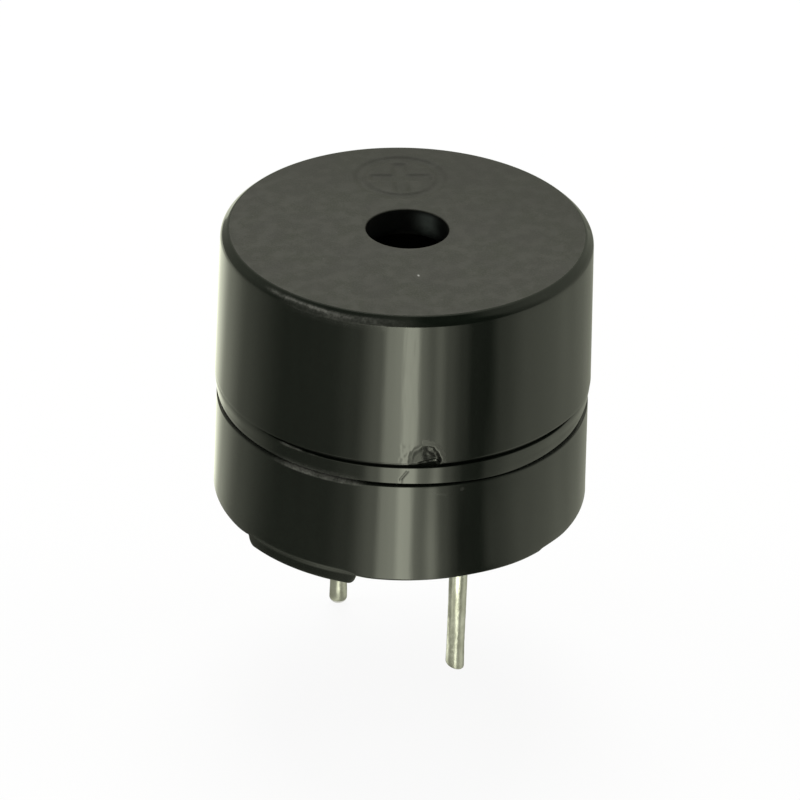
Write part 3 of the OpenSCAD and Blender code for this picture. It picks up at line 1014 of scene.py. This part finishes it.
def potting_fill():
    """Poured resin whose skin creeps up the wall and the pins."""
    p = Piece("potting_fill", columns(2.4, ((90.0, 16.0, 1.0), (-90.0, 16.0, 1.0))))
    middle = [0.12] + steps(0.4, 2.6, 8) + steps(2.6, 4.6, 30)
    creep = [4.66, 4.72, 4.78, 4.84, 4.89, 4.93, 4.96, 4.98]
    p.add([(r, SEAL_Z) for r in middle + creep], "skin", 0)
    p.add([(4.99, 1.0), (4.98, SEAL_TOP - 0.005)], "back", 0)
    p.add([(r, SEAL_TOP) for r in (4.5, 2.5, 0.2)], "back", 0)

    def shape(r, z, zone, a):
        c, s = direction(a)
        x, y = r * c, r * s
        if zone == "skin":
            near = min(math.hypot(x, y - PIN_AT), math.hypot(x, y + PIN_AT))
            z -= 0.07 * math.exp(-(BORE_R - r) / 0.13)
            z -= 0.1 * math.exp(-max(0.0, near - WIRE_R) / 0.14)
            z += 0.012 * grain(x, y, 0.0, 1.7)
        return x, y, z, 0.0

    obj = p.build(shape, [resin()], closed_loop=False)
    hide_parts("potting")
    return obj


def dress_inside():
    """Gives the pieces inside the case, which keep their CAD shapes, their materials."""
    rolled, turned = (0.2, 1.0, 1.0), (1.0, 1.0, 3.0)
    looks = {
        "diaphragm": metal(
            "rolled_nickel_iron", (0.42, 0.41, 0.37), (0.6, 0.59, 0.55), (0.2, 0.34), 0.25, (1.0, 0.12, 1.0)),
        "diaphragm_weight": metal("plated_iron", (0.36, 0.36, 0.35), (0.52, 0.52, 0.5), (0.25, 0.4), 0.2),
        "magnet": dull("ferrite", (0.014, 0.014, 0.015), (0.026, 0.026, 0.028), (0.55, 0.75), 0.12),
        "coil": winding(),
        "pole_core": metal("turned_iron", (0.3, 0.3, 0.3), (0.48, 0.48, 0.47), (0.28, 0.42), 0.15, turned),
        "yoke_plate": metal("pressed_iron", (0.3, 0.3, 0.31), (0.46, 0.46, 0.46), (0.3, 0.45), 0.35, rolled),
        "circuit_board": dull(
            "board_laminate", (0.008, 0.055, 0.014), (0.016, 0.085, 0.024), (0.3, 0.45), 0.35),
        "transistor": dull("chip_moulding", (0.01, 0.01, 0.01), (0.02, 0.02, 0.02), (0.5, 0.65), 0.06),
        "resistor": dull("chip_ceramic", (0.012, 0.012, 0.015), (0.024, 0.024, 0.028), (0.25, 0.4), 0.1),
        "solder_joints": metal("solder", (0.5, 0.5, 0.48), (0.68, 0.68, 0.66), (0.16, 0.3), 0.2),
    }
    for node, mat in looks.items():
        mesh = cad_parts[node].data
        mesh.materials.clear()
        mesh.materials.append(mat)


def bare_material(name):
    """A material without a shader, with its nodes, its links and its surface input."""
    mat = bpy.data.materials.new(name)
    mat.use_nodes = True
    nodes, links = mat.node_tree.nodes, mat.node_tree.links
    nodes.clear()
    surface = nodes.new("ShaderNodeOutputMaterial").inputs["Surface"]
    return mat, nodes, links, surface


def emitter(name, verts, faces, glow):
    """A card on the stage that only reflections see, with a strength for each corner."""
    mesh = bpy.data.meshes.new(name)
    mesh.from_pydata([tuple(c * MM for c in v) for v in verts], [], faces)
    point_layer(mesh, "glow", glow)
    mat, nodes, links, surface = bare_material(name)
    light = nodes.new("ShaderNodeEmission")
    light.inputs["Color"].default_value = (0.97, 1.0, 0.8, 1.0)
    strength = nodes.new("ShaderNodeAttribute")
    strength.attribute_name = "glow"
    links.new(strength.outputs["Fac"], light.inputs["Strength"])
    links.new(light.outputs["Emission"], surface)
    mesh.materials.append(mat)
    obj = put(name, mesh)
    obj.visible_camera = False
    obj.visible_diffuse = False
    obj.visible_shadow = False
    obj.visible_transmission = False
    return obj


# What the side walls mirror: (angle round the object from the camera's side, brightness)
FLOOR_GLOW = (
    (-180.0, 0.5), (-168.0, 0.75), (-157.0, 1.5), (-142.0, 1.4), (-124.0, 0.8), (-100.0, 0.42),
    (-68.0, 0.15), (-40.0, 0.22), (-26.0, 0.43), (-12.0, 1.5), (-7.5, 3.5), (-1.0, 4.0), (2.0, 6.2),
    (7.0, 5.8), (10.5, 2.2), (16.0, 1.4), (20.0, 1.85), (25.0, 0.95), (34.0, 0.4), (39.0, 0.13),
    (48.0, 0.1), (57.0, 0.45), (74.0, 0.78), (102.0, 0.7), (118.0, 0.52), (131.0, 0.44), (150.0, 0.36),
    (165.0, 0.4), (180.0, 0.5),
)
# The same for the rounded edges, which mirror the room above the floor
ROOM_GLOW = (
    (-180.0, 0.55), (-120.0, 0.34), (-98.0, 0.27), (-80.0, 0.14), (-46.0, 0.1), (-16.0, 0.2), (2.0, 0.24),
    (12.0, 0.1), (20.0, 0.02), (54.0, 0.02), (76.0, 0.32), (100.0, 0.54), (125.0, 0.52), (180.0, 0.55),
)
# And for the base's lower edge, which mirrors the floor close by
NEAR_GLOW = (
    (-180.0, 0.3), (-140.0, 0.15), (-100.0, 0.15), (-64.0, 0.24), (-36.0, 0.75), (-12.0, 0.5), (20.0, 0.3),
    (50.0, 0.32), (90.0, 0.45), (180.0, 0.3),
)
# Brightness of the floor right under the object
SHADE = 0.3
# The pins' angles round the axis, and how far from each pin the floor is that it mirrors
PIN_GLOW = ((90.0, 6.0), (-90.0, 10.0))
# Radius of the room
DOME_R = 240.0


def level(table, az):
    """Brightness at an angle, with soft steps between the entries of the table."""
    for (a, x), (b, y) in zip(table, table[1:]):
        if a <= az <= b:
            return x + (y - x) * smooth(a, b, az)
    return table[0][1]


def under_glow(az, r):
    """Brightness of the floor close to the object: in its own shade, but for what the pins mirror."""
    c, s = direction(az)
    out = SHADE + (level(NEAR_GLOW, az) - SHADE) * smooth(5.4, 6.2, r)
    for at, reach in PIN_GLOW:
        pin_c, pin_s = direction(turn(at, FRONT))
        dt, ds = r * c - PIN_AT * pin_c, r * s - PIN_AT * pin_s
        look, far = math.degrees(math.atan2(ds, dt)), math.hypot(dt, ds)
        fan = 1.3 * bell(look - 4.0, 13.0) + 0.3 * bell(look - 80.0, 30.0)
        out += fan * between(far, 0.3, 0.7, reach - 2.0, reach + 2.0)
    return out


def floor_glow(az, r):
    """Brightness of the floor further out, as the walls mirror it.

    The base mirrors the floor closer by than the cap: a stronger second streak, and the dark zone sooner.
    """
    close = 1.0 - smooth(25.0, 28.0, r)
    second = 1.5 * close * bell(az - 18.5, 3.5)
    sooner = 4.0 * smooth(26.0, 34.0, az) + 4.0 * smooth(39.0, 50.0, az)
    return level(FLOOR_GLOW, az + close * sooner * smooth(150.0, 110.0, az)) + second


def grid_faces(rows, n):
    """Faces between neighbouring rows of n vertices."""
    out = []
    for i in range(rows - 1):
        for k in range(n - 1):
            out.append((i * n + k, i * n + k + 1, (i + 1) * n + k + 1, (i + 1) * n + k))
    return out


def glow_ring():
    """A low ring of cards round the object."""
    verts, glow = [], []
    radii = [0.4 + 0.6 * i for i in range(24)] + [16.0, 20.0, 30.0, 60.0, 130.0, DOME_R - 1.0]
    turns = [-180.0 + i for i in range(361)]
    for az in turns:
        c, s = direction(FRONT + az)
        for r in radii:
            verts.append((r * c, r * s, FLOOR_Z + 0.15))
            near = under_glow(az, r)
            glow.append(near + (floor_glow(az, r) - near) * smooth(10.0, 14.0, r))
    emitter("reflection_cards", verts, grid_faces(len(turns), len(radii)), glow)


def toward(az, el):
    """Unit vector from the object, by the angle from the camera's side and the angle above the floor."""
    c, s = direction(FRONT + az)
    level_part, up = direction(el)
    return c * level_part, s * level_part, up


def room_dome():
    """Dim walls of the room, for reflections only."""
    verts, glow = [], []
    turns = [-180.0 + 4 * i for i in range(91)]
    heights = [-2.0, 10.0, 25.0, 40.0, 55.0, 70.0, 80.0, 89.0]
    for az in turns:
        for el in heights:
            verts.append(tuple(DOME_R * k for k in toward(az, el)))
            glow.append(level(ROOM_GLOW, az))
    emitter("room_dome", verts, grid_faces(len(turns), len(heights)), glow)


def floor_material():
    """Pale paint, white to the camera and in reflections, that keeps a soft shadow and is open from below."""
    mat, nodes, links, surface = bare_material("floor")
    paint = nodes.new("ShaderNodeBsdfDiffuse")
    paint.inputs["Color"].default_value = (0.86, 0.86, 0.85, 1.0)
    white = nodes.new("ShaderNodeEmission")
    white.inputs["Color"].default_value = (1.0, 1.0, 1.0, 1.0)
    white.inputs["Strength"].default_value = 1.0
    path = nodes.new("ShaderNodeLightPath")
    seen = path.outputs["Is Camera Ray"]
    for key in ("Is Glossy Ray", "Is Transmission Ray"):
        either = nodes.new("ShaderNodeMath")
        either.operation = "MAXIMUM"
        links.new(seen, either.inputs[0])
        links.new(path.outputs[key], either.inputs[1])
        seen = either.outputs["Value"]
    share = nodes.new("ShaderNodeMath")
    share.operation = "MULTIPLY"
    share.inputs[1].default_value = 0.91
    links.new(seen, share.inputs[0])
    above = nodes.new("ShaderNodeMixShader")
    links.new(share.outputs["Value"], above.inputs["Fac"])
    links.new(paint.outputs["BSDF"], above.inputs[1])
    links.new(white.outputs["Emission"], above.inputs[2])
    clear = nodes.new("ShaderNodeBsdfTransparent")
    back = nodes.new("ShaderNodeNewGeometry")
    both = nodes.new("ShaderNodeMixShader")
    links.new(back.outputs["Backfacing"], both.inputs["Fac"])
    links.new(above.outputs["Shader"], both.inputs[1])
    links.new(clear.outputs["BSDF"], both.inputs[2])
    links.new(both.outputs["Shader"], surface)
    return mat


def floor():
    """A wide round floor."""
    sides, radius = 96, 1500.0
    ring = []
    for i in range(sides):
        c, s = direction(360.0 * i / sides)
        ring.append((radius * c * MM, radius * s * MM, FLOOR_Z * MM))
    mesh = bpy.data.meshes.new("floor")
    mesh.from_pydata(ring, [], [tuple(range(sides))])
    mesh.materials.append(floor_material())
    obj = put("floor", mesh)


def softbox(name, az, el, size, power, mirrored=False):
    """A soft lamp aimed at the object, placed by its angle from the camera's side and its height."""
    distance, aim_z = 420.0, 4.0
    at = Vector(toward(az, el)) * distance * MM
    light = bpy.data.lights.new(name, "AREA")
    light.shape = "DISK"
    light.size = size * MM
    light.energy = power
    obj = put(name, light)
    obj.location = at + Vector((0.0, 0.0, aim_z * MM))
    obj.rotation_mode = "QUATERNION"
    obj.rotation_quaternion = (-at).to_track_quat("-Z", "Y")
    obj.visible_camera = False
    obj.visible_glossy = mirrored


def studio_world():
    """Even light from all round."""
    world = bpy.data.worlds.new("studio")
    bpy.context.scene.world = world
    world.use_nodes = True
    sky = next(n for n in world.node_tree.nodes if n.type == "BACKGROUND")
    sky.inputs["Color"].default_value = (1.0, 1.0, 0.97, 1.0)
    sky.inputs["Strength"].default_value = 0.42


def camera():
    """The photo's view: from above the front, slightly rolled."""
    lens = bpy.data.cameras.new("camera")
    lens.lens = LENS
    lens.sensor_width = SENSOR
    lens.clip_start = 0.001
    lens.clip_end = 20.0
    right = Vector((*direction(CAMERA_AZIMUTH), 0.0))
    away = Vector(toward(0.0, CAMERA_ELEVATION))
    target = (right * AIM_RIGHT + Vector((0.0, 0.0, AIM_UP))) * MM
    roll = Quaternion((0.0, 0.0, 1.0), math.radians(CAMERA_ROLL))
    view = put("camera", lens)
    view.location = target + away * CAMERA_DISTANCE * MM
    view.rotation_mode = "QUATERNION"
    view.rotation_quaternion = (-away).to_track_quat("-Z", "Y") @ roll
    bpy.context.scene.camera = view
    bpy.context.scene.view_settings.view_transform = "Standard"


cap()
base()
pin("pin_positive", "positive_pin", side=1.0, length=PIN_LONG, rounding=0.2, slant=0.0, seed=3.0)
pin("pin_negative", "negative_pin", side=-1.0, length=PIN_SHORT, rounding=0.1, slant=0.3, seed=11.0)
potting_fill()
dress_inside()
glow_ring()
room_dome()
floor()
softbox("softbox_back", az=-174.0, el=62.0, size=260.0, power=1.15, mirrored=True)
softbox("softbox_left", az=-95.0, el=48.0, size=200.0, power=0.31)
softbox("softbox_right", az=100.0, el=44.0, size=200.0, power=0.29)
studio_world()
camera()
